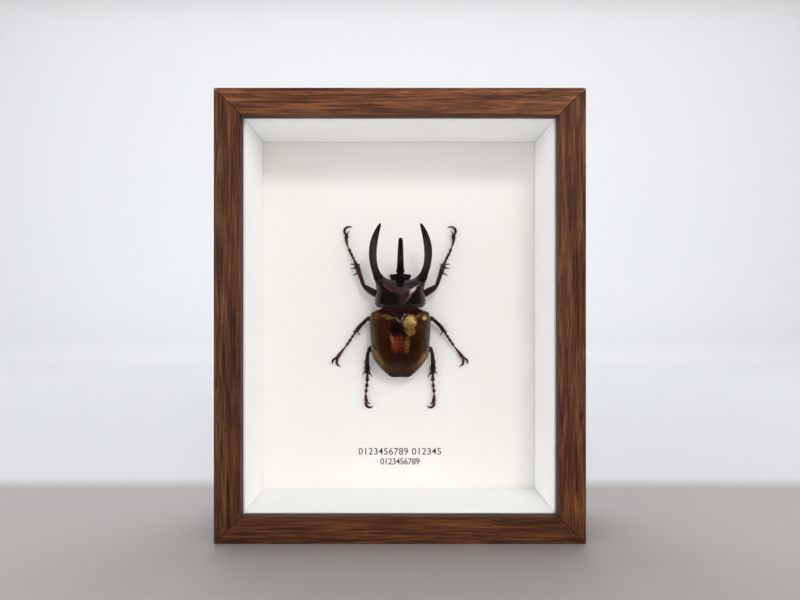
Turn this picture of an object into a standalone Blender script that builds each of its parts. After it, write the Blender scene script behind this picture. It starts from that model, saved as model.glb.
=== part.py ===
"""A dry three-horned beetle in a deep wooden box frame with a glass front.

The frame stands upright on its bottom rail. X runs to the right, -Y out through the glass and +Z up.
The origin is on the standing surface, in the middle of the footprint. Lengths are in metres, and the
beetle's own shapes are given in millimetres and brought to metres as they are made.
"""

import math

import bmesh
import bpy
from mathutils import Vector

MM = 0.001

# The case
FRAME_WIDTH = 0.222
FRAME_HEIGHT = 0.272
FRAME_DEPTH = 0.068
FACE_WIDTH = 0.016              # moulding width, seen from the front
LIP_DEPTH = 0.007               # front edge of the moulding that stands in front of the glass
REBATE_WIDTH = 0.0055           # how far the glass and the boards reach under the lip
EDGE_ROUND = 0.0005
GAP = 0.0003                    # between pieces that touch
GLASS_THICKNESS = 0.002
LINER_THICKNESS = 0.005
LINER_WIDTH = 0.189             # clear width between the side boards
CARD_DEPTH = 0.0575             # from the front of the frame to the face of the card
CARD_THICKNESS = 0.002
BACK_THICKNESS = 0.003
PANE_CLEARANCE = 0.001          # total play of the glass, card and back in the rebate

FRONT_Y = -FRAME_DEPTH / 2
GLASS_Y = FRONT_Y + LIP_DEPTH + GAP
LINER_Y = GLASS_Y + GLASS_THICKNESS + GAP
CARD_Y = FRONT_Y + CARD_DEPTH
BACK_Y = CARD_Y + CARD_THICKNESS + GAP
REBATE_INSET = FACE_WIDTH - REBATE_WIDTH
LINER_INSET = REBATE_INSET + GAP + LINER_THICKNESS
PANE_WIDTH = FRAME_WIDTH - 2 * REBATE_INSET - PANE_CLEARANCE
PANE_HEIGHT = FRAME_HEIGHT - 2 * REBATE_INSET - PANE_CLEARANCE

# The steel points that hold the back in
POINT_WIDTH = 0.007
POINT_LENGTH = 0.016
POINT_THICKNESS = 0.0006
POINT_BITE = 0.005              # the length driven into the wood
POINT_Y = BACK_Y + BACK_THICKNESS + GAP + POINT_THICKNESS / 2

# Where the beetle lies: its waist, on the face of the card
BEETLE_X = 0.0006
BEETLE_Z = 0.1407
LIMB_BEVEL_RESOLUTION = 2
HORN_BEVEL_RESOLUTION = 3
WELD = 0.00001

# Wing cases, one station per row: along the body, half width, height of the rim, height of the back
ELYTRON_STATIONS = [
    (-1.0, 16.8, 12.5, 18.0),
    (-3.0, 19.1, 12.0, 20.6),
    (-8.0, 20.1, 11.2, 23.0),
    (-15.0, 20.4, 10.8, 24.2),
    (-23.0, 19.9, 10.6, 24.2),
    (-30.5, 19.0, 10.6, 22.8),
    (-36.0, 16.4, 10.8, 20.0),
    (-41.0, 12.2, 11.0, 16.6),
    (-44.5, 8.3, 11.0, 13.8),
    (-46.2, 5.6, 11.0, 12.2),
]
ELYTRON_THICKNESS = 0.8
SUTURE_HALF_GAP = 0.15          # half the seam between the two wing cases
SCUTELLUM_OUTLINE = [(-7.0, 0.0), (7.0, 0.0), (5.0, -3.6), (0.0, -9.8), (-5.0, -3.6)]
SCUTELLUM_HEIGHT = 17.6
SCUTELLUM_THICKNESS = 4.4

# Horns and limbs are tubes: across, along, above the card, radius. Limbs are those of the left side.
THORAX_HORN = [
    (-8.0, 11.5, 18.0, 5.4), (-12.5, 17.0, 21.0, 4.2), (-15.2, 21.9, 22.5, 2.9),
    (-16.9, 25.6, 23.6, 2.4), (-18.0, 30.5, 25.2, 2.3), (-18.3, 35.5, 26.8, 2.3),
    (-18.0, 40.5, 28.2, 2.3), (-17.1, 45.0, 29.2, 2.1), (-15.7, 49.2, 29.8, 1.7),
    (-14.2, 52.6, 30.0, 1.2), (-13.1, 55.0, 30.0, 0.5),
]
HEAD_HORN = [
    (0, 22.0, 13.0, 2.7), (0, 24.4, 16.2, 2.6), (0, 27.0, 19.5, 2.3), (0, 31.0, 23.6, 2.1),
    (0, 35.5, 27.2, 2.0), (0, 40.0, 30.0, 1.8), (0, 44.0, 31.9, 1.5), (0, 45.6, 32.4, 0.8),
]
LEGS = {
    "front": {
        "femur": [(-10.5, 7.4, 6.6, 2.2), (-15.5, 9.6, 7.4, 2.5), (-19.5, 11.4, 8.2, 2.4),
                  (-23.0, 13.2, 8.8, 2.1), (-24.8, 14.2, 9.0, 1.6), (-25.4, 14.6, 9.0, 0.9)],
        "tibia": [(-25.2, 15.9, 8.7, 0.9), (-25.6, 17.0, 8.4, 1.3), (-26.6, 20.0, 7.8, 1.4),
                  (-28.2, 25.0, 6.6, 1.6), (-29.6, 29.0, 5.6, 1.7), (-30.3, 31.0, 5.2, 1.2)],
        "tarsus": [(-30.65, 31.6, 5.0, 0.8), (-32.9, 35.5, 4.2, 0.8), (-34.8, 39.6, 3.5, 0.7),
                   (-36.6, 43.7, 2.9, 0.7), (-37.4, 47.2, 2.4, 0.7), (-37.0, 50.4, 2.0, 1.1),
                   (-37.6, 52.3, 1.7, 0.8), (-38.0, 54.6, 1.5, 0.65), (-36.4, 56.3, 1.3, 0.5),
                   (-33.2, 56.2, 1.1, 0.25)],
        "claw": [(-37.1, 50.6, 2.2, 0.6), (-36.0, 52.6, 2.9, 0.45), (-34.9, 53.6, 3.4, 0.25)],
    },
    "middle": {
        "femur": [(-10.0, -8.6, 5.8, 2.2), (-15.5, -7.4, 6.4, 2.4), (-20.0, -6.3, 6.8, 2.1),
                  (-22.8, -5.9, 7.0, 1.5), (-23.6, -6.0, 7.0, 0.9)],
        "tibia": [(-24.3, -7.3, 6.9, 0.9), (-26.5, -10.8, 6.0, 1.2), (-29.0, -14.0, 5.2, 1.35),
                  (-30.2, -15.8, 4.8, 1.1)],
        "tarsus": [(-30.6, -16.35, 4.7, 0.7), (-33.2, -20.1, 3.9, 0.75), (-35.6, -23.6, 3.2, 0.7),
                   (-38.2, -27.0, 2.6, 0.6), (-41.2, -30.9, 2.1, 0.6), (-43.0, -33.5, 1.9, 1.0),
                   (-44.6, -34.6, 1.6, 0.65), (-46.2, -35.9, 1.3, 0.5), (-46.6, -37.6, 1.0, 0.25)],
        "claw": [(-43.0, -33.6, 1.9, 0.6), (-43.6, -36.4, 1.5, 0.55), (-43.2, -38.4, 1.1, 0.45),
                 (-41.3, -39.4, 1.0, 0.25)],
    },
    "hind": {
        "femur": [(-11.5, -24.4, 5.4, 2.3), (-17.0, -25.6, 5.8, 2.6), (-20.5, -26.7, 6.2, 2.3),
                  (-22.0, -27.2, 6.4, 1.8), (-22.7, -27.5, 6.4, 1.1)],
        "tibia": [(-22.8, -29.2, 6.2, 0.9), (-22.9, -34.0, 5.6, 1.3), (-22.8, -40.0, 4.9, 1.6),
                  (-22.6, -44.0, 4.4, 1.7), (-22.5, -45.6, 4.2, 1.2)],
        "tarsus": [(-22.55, -46.25, 4.1, 0.8), (-22.7, -50.4, 3.5, 0.8), (-23.1, -54.2, 3.0, 0.75),
                   (-23.5, -57.8, 2.5, 0.65), (-23.7, -61.0, 2.1, 0.75), (-23.3, -63.8, 1.9, 1.0),
                   (-23.3, -65.2, 1.7, 0.75), (-23.0, -67.0, 1.4, 0.65), (-21.6, -68.3, 1.2, 0.55),
                   (-19.0, -67.6, 1.0, 0.25)],
        "claw": [(-23.1, -64.0, 2.0, 0.5), (-21.9, -65.3, 2.6, 0.4), (-21.0, -65.7, 3.0, 0.25)],
    },
}


def make_material(name, colour, roughness, metallic=0.0, transmission=0.0):
    """A Principled material of one colour."""
    material = bpy.data.materials.new(name)
    material.use_nodes = True
    shader = material.node_tree.nodes["Principled BSDF"]
    shader.inputs["Base Color"].default_value = (*colour, 1.0)
    shader.inputs["Roughness"].default_value = roughness
    shader.inputs["Metallic"].default_value = metallic
    shader.inputs["Transmission Weight"].default_value = transmission
    return material


def place(name, data, collection, material=None, parent=None, location=(0, 0, 0), turn=0.0):
    """Put a mesh or a curve in the scene, turned about Y by an angle in radians."""
    piece = bpy.data.objects.new(name, data)
    piece.location = location
    piece.rotation_euler = (0, turn, 0)
    piece.parent = parent
    collection.objects.link(piece)
    if material:
        data.materials.append(material)
    if collection.name.endswith("cutters"):
        piece.hide_render = True
        piece.display_type = "WIRE"
    return piece


def as_mesh(curve):
    """Turn a curve object into a mesh object, with its end caps welded on."""
    bpy.context.view_layer.update()
    evaluated = curve.evaluated_get(bpy.context.evaluated_depsgraph_get())
    mesh = bpy.data.meshes.new_from_object(evaluated)
    shape = bmesh.new()
    shape.from_mesh(mesh)
    bmesh.ops.remove_doubles(shape, verts=shape.verts, dist=WELD)
    shape.to_mesh(mesh)
    shape.free()
    name = curve.name
    solid = bpy.data.objects.new(name + "_solid", mesh)
    solid.parent = curve.parent
    solid.matrix_world = curve.matrix_world.copy()
    curve.users_collection[0].objects.link(solid)
    solid.hide_render = curve.hide_render
    solid.display_type = curve.display_type
    bpy.data.objects.remove(curve)
    solid.name = name
    return solid


def boolean(piece, operation, other):
    """Join or cut a piece with another object, or with every object of a collection."""
    modifier = piece.modifiers.new(operation.lower(), "BOOLEAN")
    modifier.operation = operation
    modifier.solver = "EXACT"
    if isinstance(other, bpy.types.Collection):
        modifier.operand_type = "COLLECTION"
        modifier.collection = other
    else:
        modifier.object = other


def block(size, round_edge=0.0):
    """A box mesh centred on its origin, with its edges rounded where asked."""
    mesh = bpy.data.meshes.new("block")
    shape = bmesh.new()
    bmesh.ops.create_cube(shape, size=1.0)
    bmesh.ops.scale(shape, vec=size, verts=shape.verts)
    if round_edge:
        bmesh.ops.bevel(shape, geom=shape.edges[:], offset=round_edge, segments=1, affect="EDGES")
    shape.to_mesh(mesh)
    shape.free()
    return mesh


def flat_outline(name, points, thickness, collection, **placing):
    """A flat outline in the local XY plane, given its thickness along Z, as a mesh object."""
    curve = bpy.data.curves.new(name, "CURVE")
    curve.dimensions = "2D"
    curve.fill_mode = "BOTH"
    curve.extrude = thickness / 2
    spline = curve.splines.new("POLY")
    spline.points.add(len(points) - 1)
    for target, (across, along) in zip(spline.points, points):
        target.co = (across, along, 0.0, 1.0)
    spline.use_cyclic_u = True
    return as_mesh(place(name, curve, collection, **placing))


def tube(name, route, resolution, collection, swell=0.0, side=1, **placing):
    """A tapering round tube through a route in millimetres, fattened by swell millimetres."""
    curve = bpy.data.curves.new(name, "CURVE")
    curve.dimensions = "3D"
    curve.bevel_depth = MM
    curve.bevel_resolution = resolution
    curve.use_fill_caps = True
    spline = curve.splines.new("POLY")
    spline.points.add(len(route) - 1)
    for target, (across, along, above, radius) in zip(spline.points, route):
        target.co = (side * across * MM, along * MM, above * MM, 1.0)
        target.radius = radius + swell
    return as_mesh(place(name, curve, collection, **placing))


def lump(half_size, centre, squareness, segments=20, rings=10):
    """A rounded block in millimetres: an ellipsoid at squareness 2, nearer a box above that."""
    mesh = bpy.data.meshes.new("lump")
    shape = bmesh.new()
    bmesh.ops.create_uvsphere(shape, u_segments=segments, v_segments=rings, radius=1.0)
    for vertex in shape.verts:
        reach = sum(abs(value) ** squareness for value in vertex.co) ** (1 / squareness)
        vertex.co /= reach
        for axis in range(3):
            vertex.co[axis] = (vertex.co[axis] * half_size[axis] + centre[axis]) * MM
    shape.to_mesh(mesh)
    shape.free()
    mesh.shade_smooth()
    return mesh


def mitred_moulding(length):
    """A length of moulding along X, outer face down, long edges eased and ends mitred."""
    mesh = bpy.data.meshes.new("moulding")
    shape = bmesh.new()
    bmesh.ops.create_cube(shape, size=1.0)
    bmesh.ops.scale(shape, vec=(length, FRAME_DEPTH, FACE_WIDTH), verts=shape.verts)
    long_edges = [edge for edge in shape.edges if abs(edge.verts[0].co.x - edge.verts[1].co.x) > WELD]
    bmesh.ops.bevel(shape, geom=long_edges, offset=EDGE_ROUND, segments=3, profile=0.5, affect="EDGES")
    pull_in = GAP / 2 * math.sqrt(2)
    for end in (-1, 1):
        cut = bmesh.ops.bisect_plane(
            shape,
            geom=shape.verts[:] + shape.edges[:] + shape.faces[:],
            dist=WELD,
            plane_co=(end * (length / 2 - pull_in), 0, -FACE_WIDTH / 2),
            plane_no=Vector((end, 0, 1)).normalized(),
            clear_outer=True,
        )
        rim = [item for item in cut["geom_cut"] if isinstance(item, bmesh.types.BMEdge)]
        bmesh.ops.contextual_create(shape, geom=rim)
    bmesh.ops.recalc_face_normals(shape, faces=shape.faces)
    shape.to_mesh(mesh)
    shape.free()
    return mesh


def framers_point(name, rail, along, parts, cutters, material):
    """A steel point that sticks out of a rail's rebate wall, and the slot that it is driven into."""
    wall = FACE_WIDTH / 2 - REBATE_WIDTH
    half = POINT_WIDTH / 2
    straight = POINT_LENGTH - POINT_BITE - half
    steps = 8
    outline = [(-half, -POINT_BITE), (half, -POINT_BITE)]
    for step in range(steps + 1):
        angle = math.pi * step / steps
        outline.append((half * math.cos(angle), straight + half * math.sin(angle)))
    point = flat_outline(name, outline, POINT_THICKNESS, parts, material=material, parent=rail,
                         location=(along, POINT_Y, wall))
    point.rotation_euler = (math.pi / 2, 0, 0)
    slot_size = (POINT_WIDTH + 2 * GAP, POINT_THICKNESS + 2 * GAP, 2 * (POINT_BITE + GAP))
    place(name + "_slot", block(slot_size), cutters, parent=rail, location=(along, POINT_Y, wall))


def make_case(parts, cutters):
    """The mouldings, the glass, the liner, the card and the back with its points."""
    wood = make_material("brown_wood", (0.13, 0.055, 0.027), 0.5)
    glass = make_material("clear_glass", (1, 1, 1), 0.0, transmission=1.0)
    white_board = make_material("white_board", (0.86, 0.87, 0.87), 0.7)
    card = make_material("off_white_card", (0.9, 0.88, 0.85), 0.8)
    fibreboard = make_material("fibreboard", (0.30, 0.19, 0.11), 0.8)
    steel = make_material("point_steel", (0.55, 0.55, 0.55), 0.35, metallic=1.0)

    rebate_size = (FRAME_WIDTH - 2 * REBATE_INSET, FRAME_DEPTH, FRAME_HEIGHT - 2 * REBATE_INSET)
    place("rebate", block(rebate_size), cutters, location=(0, LIP_DEPTH, FRAME_HEIGHT / 2))

    side_x = FRAME_WIDTH / 2 - FACE_WIDTH / 2
    quarter = math.pi / 2
    rails = {
        "frame_rail_bottom": (FRAME_WIDTH, (0, 0, FACE_WIDTH / 2), 0.0),
        "frame_rail_top": (FRAME_WIDTH, (0, 0, FRAME_HEIGHT - FACE_WIDTH / 2), 2 * quarter),
        "frame_stile_left": (FRAME_HEIGHT, (-side_x, 0, FRAME_HEIGHT / 2), quarter),
        "frame_stile_right": (FRAME_HEIGHT, (side_x, 0, FRAME_HEIGHT / 2), -quarter),
    }
    for name, (length, location, turn) in rails.items():
        rail = place(name, mitred_moulding(length), parts, material=wood, location=location, turn=turn)
        boolean(rail, "DIFFERENCE", cutters)
        if length == FRAME_WIDTH:
            framers_point(name.replace("frame_rail", "point"), rail, 0.0, parts, cutters, steel)
            continue
        for level, along in (("upper", FRAME_HEIGHT / 4), ("lower", -FRAME_HEIGHT / 4)):
            along_rail = along if name.endswith("right") else -along
            point_name = name.replace("frame_stile", "point") + "_" + level
            framers_point(point_name, rail, along_rail, parts, cutters, steel)

    pane_middle = FRAME_HEIGHT / 2
    panes = {
        "glass_pane": (GLASS_Y, GLASS_THICKNESS, glass, 0.0003),
        "mount_card": (CARD_Y, CARD_THICKNESS, card, 0.0),
        "back_board": (BACK_Y, BACK_THICKNESS, fibreboard, 0.0),
    }
    for name, (front, thickness, material, round_edge) in panes.items():
        mesh = block((PANE_WIDTH, thickness, PANE_HEIGHT), round_edge)
        place(name, mesh, parts, material=material, location=(0, front + thickness / 2, pane_middle))

    liner_depth = CARD_Y - GAP - LINER_Y
    liner_y = LINER_Y + liner_depth / 2
    long_size = (LINER_WIDTH + 2 * LINER_THICKNESS, liner_depth, LINER_THICKNESS)
    side_size = (LINER_THICKNESS, liner_depth, FRAME_HEIGHT - 2 * LINER_INSET - 2 * GAP)
    long_z = LINER_INSET - LINER_THICKNESS / 2
    side_x = LINER_WIDTH / 2 + LINER_THICKNESS / 2
    boards = {
        "liner_bottom": (long_size, (0, liner_y, long_z)),
        "liner_top": (long_size, (0, liner_y, FRAME_HEIGHT - long_z)),
        "liner_left": (side_size, (-side_x, liner_y, pane_middle)),
        "liner_right": (side_size, (side_x, liner_y, pane_middle)),
    }
    for name, (size, location) in boards.items():
        place(name, block(size), parts, material=white_board, location=location)


def elytron_mesh(side):
    """The outer skin of one wing case, from the seam at the middle out to its rim."""
    rows = len(ELYTRON_STATIONS)
    columns = 9
    squareness = 0.8
    mesh = bpy.data.meshes.new("elytron")
    shape = bmesh.new()
    bmesh.ops.create_grid(shape, x_segments=columns - 1, y_segments=rows - 1, size=0.5)
    for vertex in shape.verts:
        across = vertex.co.x + 0.5
        row = round((0.5 - vertex.co.y) * (rows - 1))
        along, half_width, rim, crest = ELYTRON_STATIONS[row]
        angle = across * math.pi / 2
        reach = SUTURE_HALF_GAP + (half_width - SUTURE_HALF_GAP) * math.sin(angle) ** squareness
        height = rim + (crest - rim) * math.cos(angle) ** squareness
        vertex.co = Vector((side * reach, along, height)) * MM
    if side < 0:
        bmesh.ops.reverse_faces(shape, faces=shape.faces)
    shape.to_mesh(mesh)
    shape.free()
    mesh.shade_smooth()
    return mesh


def make_wing_cases(parts, cutters, body, horn_brown, dark):
    """Two thin wing cases, notched at the front for the small triangle between them."""
    grown = [(x * 1.08, y * 1.06 + 0.3) for x, y in SCUTELLUM_OUTLINE]
    notch_outline = [(x * MM, y * MM) for x, y in grown]
    notch = flat_outline("scutellum_notch", notch_outline, 3 * SCUTELLUM_THICKNESS * MM, cutters,
                         parent=body, location=(0, 0, SCUTELLUM_HEIGHT * MM))
    for label, side in (("left", -1), ("right", 1)):
        piece = place("elytron_" + label, elytron_mesh(side), parts, material=horn_brown, parent=body)
        shell = piece.modifiers.new("shell", "SOLIDIFY")
        shell.thickness = ELYTRON_THICKNESS * MM
        shell.offset = -1
        shell.use_even_offset = True
        boolean(piece, "DIFFERENCE", notch)
    outline = [(x * MM, y * MM) for x, y in SCUTELLUM_OUTLINE]
    flat_outline("scutellum", outline, SCUTELLUM_THICKNESS * MM, parts, material=dark, parent=body,
                 location=(0, 0, SCUTELLUM_HEIGHT * MM))


def make_beetle(parts, cutters):
    """The beetle, built lying on its belly in its own frame: +Y to the head, +Z up off the card."""
    horn_black = make_material("horn_black", (0.012, 0.009, 0.008), 0.2)
    horn_brown = make_material("horn_brown", (0.09, 0.045, 0.012), 0.2)
    leg_black = make_material("leg_black", (0.02, 0.008, 0.007), 0.3)

    body = bpy.data.objects.new("beetle", None)
    body.location = (BEETLE_X, CARD_Y, BEETLE_Z)
    body.rotation_euler = (math.pi / 2, 0, 0)
    parts.objects.link(body)

    pronotum = place("pronotum", lump((16.6, 8.8, 11.2), (0, 9.7, 15.2), 2.7), parts,
                     material=horn_black, parent=body)
    hind_body = place("hind_body", lump((16.5, 21.5, 7.4), (0, -21.3, 7.7), 2.4), parts,
                      material=leg_black, parent=body)
    head = place("head", lump((6.4, 2.7, 4.6), (0, 21.5, 12.4), 2.4, 16, 8), parts,
                 material=horn_black, parent=body)
    horn = tube("head_horn", HEAD_HORN, HORN_BEVEL_RESOLUTION, cutters, parent=body)
    boolean(head, "UNION", horn)

    for label, side in (("left", 1), ("right", -1)):
        eye = place("eye_" + label, lump((1.7, 1.6, 1.9), (side * 5.9, 21.9, 13.4), 2.0, 10, 6),
                    cutters, parent=body)
        boolean(head, "UNION", eye)
        horn = tube("thorax_horn_" + label, THORAX_HORN, HORN_BEVEL_RESOLUTION, cutters,
                    side=side, parent=body)
        boolean(pronotum, "UNION", horn)
        for pair, limb in LEGS.items():
            make_leg(pair, limb, label, side, parts, cutters, body, leg_black)
            holder = pronotum if pair == "front" else hind_body
            socket = tube(f"{pair}_socket_{label}", limb["femur"], LIMB_BEVEL_RESOLUTION, cutters,
                          swell=2 * GAP / MM, side=side, parent=body)
            boolean(holder, "DIFFERENCE", socket)
    make_wing_cases(parts, cutters, body, horn_brown, horn_black)


def make_leg(pair, limb, label, side, parts, cutters, body, material):
    """One leg in three pieces, its tarsus ending in two claws."""
    for segment in ("femur", "tibia", "tarsus"):
        piece = tube(f"leg_{pair}_{label}_{segment}", limb[segment], LIMB_BEVEL_RESOLUTION, parts,
                     side=side, parent=body, material=material)
        if segment == "tarsus":
            claw = tube(f"{pair}_claw_{label}", limb["claw"], LIMB_BEVEL_RESOLUTION, cutters,
                        side=side, parent=body)
            boolean(piece, "UNION", claw)


for leftover in list(bpy.data.objects):
    bpy.data.objects.remove(leftover)

specimen = bpy.data.collections.new("framed_beetle_specimen")
case_cutters = bpy.data.collections.new("case_cutters")
beetle_cutters = bpy.data.collections.new("beetle_cutters")
for group in (specimen, case_cutters, beetle_cutters):
    bpy.context.scene.collection.children.link(group)

make_case(specimen, case_cutters)
make_beetle(specimen, beetle_cutters)
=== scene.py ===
"""A dry three-horned beetle in a deep wooden box frame, finished and lit in a plain pale studio."""

import math

import bmesh
import bpy
from mathutils import Matrix, Vector


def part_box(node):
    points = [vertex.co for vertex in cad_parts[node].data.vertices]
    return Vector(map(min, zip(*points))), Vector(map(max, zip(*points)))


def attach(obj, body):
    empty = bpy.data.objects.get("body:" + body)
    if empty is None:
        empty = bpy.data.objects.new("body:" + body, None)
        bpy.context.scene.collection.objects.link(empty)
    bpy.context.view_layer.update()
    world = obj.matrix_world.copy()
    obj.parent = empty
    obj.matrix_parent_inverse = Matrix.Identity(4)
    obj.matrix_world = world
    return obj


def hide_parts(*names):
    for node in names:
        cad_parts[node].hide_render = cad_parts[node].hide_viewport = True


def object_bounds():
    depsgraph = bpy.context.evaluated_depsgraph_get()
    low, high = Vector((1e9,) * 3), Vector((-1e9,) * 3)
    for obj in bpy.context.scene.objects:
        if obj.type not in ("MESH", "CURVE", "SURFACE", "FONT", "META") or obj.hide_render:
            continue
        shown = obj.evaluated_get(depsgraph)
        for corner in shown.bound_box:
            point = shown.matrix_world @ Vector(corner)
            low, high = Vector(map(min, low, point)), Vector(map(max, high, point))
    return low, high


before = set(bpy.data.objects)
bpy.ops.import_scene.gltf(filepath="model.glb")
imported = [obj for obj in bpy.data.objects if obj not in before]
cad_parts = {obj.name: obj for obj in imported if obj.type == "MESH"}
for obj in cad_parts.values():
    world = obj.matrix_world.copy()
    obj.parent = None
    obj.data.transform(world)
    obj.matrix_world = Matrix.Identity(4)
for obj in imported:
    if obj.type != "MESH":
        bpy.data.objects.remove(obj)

cad_low, cad_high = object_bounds()


# ----------------------------------------------------------------------
# The four lengths of moulding: brown stained hardwood with a straight, open grain.
# Each is ripped from a plank, rebated at the back of its lip and mitred at both ends.
# ----------------------------------------------------------------------

def shader_of(material):
    """The Principled shader of a new node material."""
    material.use_nodes = True
    return material.node_tree.nodes["Principled BSDF"]


def add_node(material, kind, inputs=None, **settings):
    """Add a shading node, with its settings and its input values or links."""
    tree = material.node_tree
    node = tree.nodes.new(kind)
    for name, value in settings.items():
        setattr(node, name, value)
    for name, value in (inputs or {}).items():
        socket = node.inputs[name]
        if isinstance(value, bpy.types.NodeSocket):
            tree.links.new(value, socket)
        else:
            socket.default_value = value
    return node


def link(material, output, target):
    """Join an output to an input."""
    material.node_tree.links.new(output, target)


def colour_ramp(material, source, stops):
    """A colour ramp over a value, from (position, (r, g, b)) stops."""
    ramp = add_node(material, "ShaderNodeValToRGB", {"Fac": source})
    elements = ramp.color_ramp.elements
    while len(elements) < len(stops):
        elements.new(0.5)
    for element, (position, colour) in zip(elements, stops):
        element.position = position
        element.color = (*colour, 1.0)
    return ramp.outputs["Color"]


def value_ramp(material, source, low, high, to_low=0.0, to_high=1.0):
    """Stretch a value from one range to another, held at its ends."""
    node = add_node(material, "ShaderNodeMapRange", {
        "Value": source, "From Min": low, "From Max": high, "To Min": to_low, "To Max": to_high})
    return node.outputs["Result"]


def object_coordinates(material, scale=(1, 1, 1), offset=(0, 0, 0)):
    """Object coordinates in metres, scaled and shifted."""
    place = add_node(material, "ShaderNodeTexCoord")
    mapping = add_node(material, "ShaderNodeMapping", {
        "Vector": place.outputs["Object"], "Scale": scale, "Location": offset})
    return mapping.outputs["Vector"]


def noise(material, place, scale, detail, roughness=0.5, distortion=0.0):
    """The value of a noise texture."""
    node = add_node(material, "ShaderNodeTexNoise", {
        "Vector": place, "Scale": scale, "Detail": detail, "Roughness": roughness,
        "Distortion": distortion})
    return node.outputs["Fac"]


def mix_colour(material, factor, first, second, blend="MIX"):
    """Mix two colours by a factor."""
    node = add_node(material, "ShaderNodeMix", data_type="RGBA", blend_type=blend)
    for socket, value in ((node.inputs["Factor"], factor), (node.inputs["A"], first),
                          (node.inputs["B"], second)):
        if isinstance(value, bpy.types.NodeSocket):
            link(material, value, socket)
        elif isinstance(value, (int, float)):
            socket.default_value = value
        else:
            socket.default_value = (*value, 1.0)
    return node.outputs["Result"]


def add_bump(material, shader, height, distance, strength):
    """Give the shader a bump from a height, in metres."""
    bump = add_node(material, "ShaderNodeBump", {
        "Height": height, "Distance": distance, "Strength": strength})
    link(material, bump.outputs["Normal"], shader.inputs["Normal"])


def stained_wood(name, grain_axis, offset, lightness):
    """Brown stained wood whose grain runs along one axis: 0 for X, 2 for Z."""
    material = bpy.data.materials.new(name)
    shader = shader_of(material)

    def grain(along, across, shift=0.0):
        scale = [across, across, across]
        scale[grain_axis] = along
        place = tuple(value + shift for value in offset)
        return object_coordinates(material, tuple(scale), place)

    bands = noise(material, grain(20, 340), 1.0, 3.0, 0.6, 0.9)
    streaks = noise(material, grain(44, 1250, 3.1), 1.0, 4.0, 0.6, 0.4)
    pores = noise(material, grain(150, 2900, 7.7), 1.0, 2.0)
    tone = colour_ramp(material, bands, [
        (0.34, (0.046, 0.014, 0.005)), (0.50, (0.092, 0.030, 0.009)),
        (0.66, (0.150, 0.053, 0.014))])
    streak_mask = value_ramp(material, streaks, 0.38, 0.60)
    streaked = mix_colour(material, streak_mask,
                          [lightness * value for value in (0.42, 0.38, 0.36)],
                          [lightness * value for value in (1.16, 1.14, 1.16)])
    toned = mix_colour(material, 1.0, tone, streaked, "MULTIPLY")
    pore_mask = value_ramp(material, pores, 0.55, 0.66, 0.0, 0.8)
    coloured = mix_colour(material, pore_mask, toned, (0.022, 0.009, 0.005))
    link(material, coloured, shader.inputs["Base Color"])
    link(material, value_ramp(material, streaks, 0.3, 0.7, 0.62, 0.48), shader.inputs["Roughness"])
    shader.inputs["Specular IOR Level"].default_value = 0.3
    relief = add_node(material, "ShaderNodeMath", {0: streak_mask, 1: pore_mask},
                      operation="SUBTRACT")
    add_bump(material, shader, relief.outputs[0], 0.00012, 0.7)
    return material


def dress(piece, material):
    """Give a piece one material, in place of any that it has."""
    piece.data.materials.clear()
    piece.data.materials.append(material)


# Each length is given its own lightness, the top rail the lightest: partly the wood's own tone and
# partly painted light, for the light that falls more on the top rail.
for node_name, grain_axis, offset, lightness in (
    ("frame_rail_bottom", 0, (0.0, 0.0, 0.0), 0.68),
    ("frame_rail_top", 0, (4.3, 1.7, 2.2), 1.0),
    ("frame_stile_left", 2, (1.9, 5.1, 3.3), 0.58),
    ("frame_stile_right", 2, (6.4, 2.8, 8.1), 0.66),
):
    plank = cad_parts[node_name]
    dress(plank, stained_wood(node_name + "_wood", grain_axis, offset, lightness))


# ----------------------------------------------------------------------
# The pane: clear picture glass, cut to the rebate and held against the lip by the liner.
# It casts no shadow here, so that the lamps light the box straight through it.
# ----------------------------------------------------------------------

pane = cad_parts["glass_pane"]
clear_glass = bpy.data.materials.new("picture_glass")
glass_shader = shader_of(clear_glass)
glass_shader.inputs["Base Color"].default_value = (1.0, 1.0, 1.0, 1.0)
glass_shader.inputs["Roughness"].default_value = 0.0
glass_shader.inputs["IOR"].default_value = 1.5
glass_shader.inputs["Transmission Weight"].default_value = 1.0
pane.visible_shadow = False
dress(pane, clear_glass)


# ----------------------------------------------------------------------
# The liner: four strips of white faced foam board that line the box between glass and card.
# They are cut square, stand edge to edge, and are glued to the rebate.
# ----------------------------------------------------------------------

def pressed_paper(name, colour, tint, fibre_scale, depth):
    """Matt paper or board: a faint cloudy tint and a fine fibre relief."""
    material = bpy.data.materials.new(name)
    shader = shader_of(material)
    place = object_coordinates(material)
    clouds = value_ramp(material, noise(material, place, 22.0, 2.0), 0.35, 0.65)
    fibres = noise(material, place, fibre_scale, 5.0, 0.7)
    link(material, mix_colour(material, clouds, colour, tint), shader.inputs["Base Color"])
    link(material, value_ramp(material, fibres, 0.3, 0.7, 0.78, 0.9), shader.inputs["Roughness"])
    add_bump(material, shader, fibres, depth, 0.5)
    shader.inputs["Specular IOR Level"].default_value = 0.3
    return material


liner_paper = pressed_paper("liner_paper", (0.90, 0.905, 0.90), (0.92, 0.925, 0.92), 900.0, 0.00003)
for node_name in ("liner_bottom", "liner_top", "liner_left", "liner_right"):
    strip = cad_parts[node_name]
    dress(strip, liner_paper)


# ----------------------------------------------------------------------
# The mount card: thick off-white card that the beetle is glued to, with two lines of plain
# numerals printed low down in dark grey ink.
# ----------------------------------------------------------------------

card_paper = pressed_paper("mount_card_paper", (0.885, 0.865, 0.84), (0.90, 0.882, 0.86), 700.0,
                           0.00004)
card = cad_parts["mount_card"]
dress(card, card_paper)
card_low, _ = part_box("mount_card")

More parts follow.
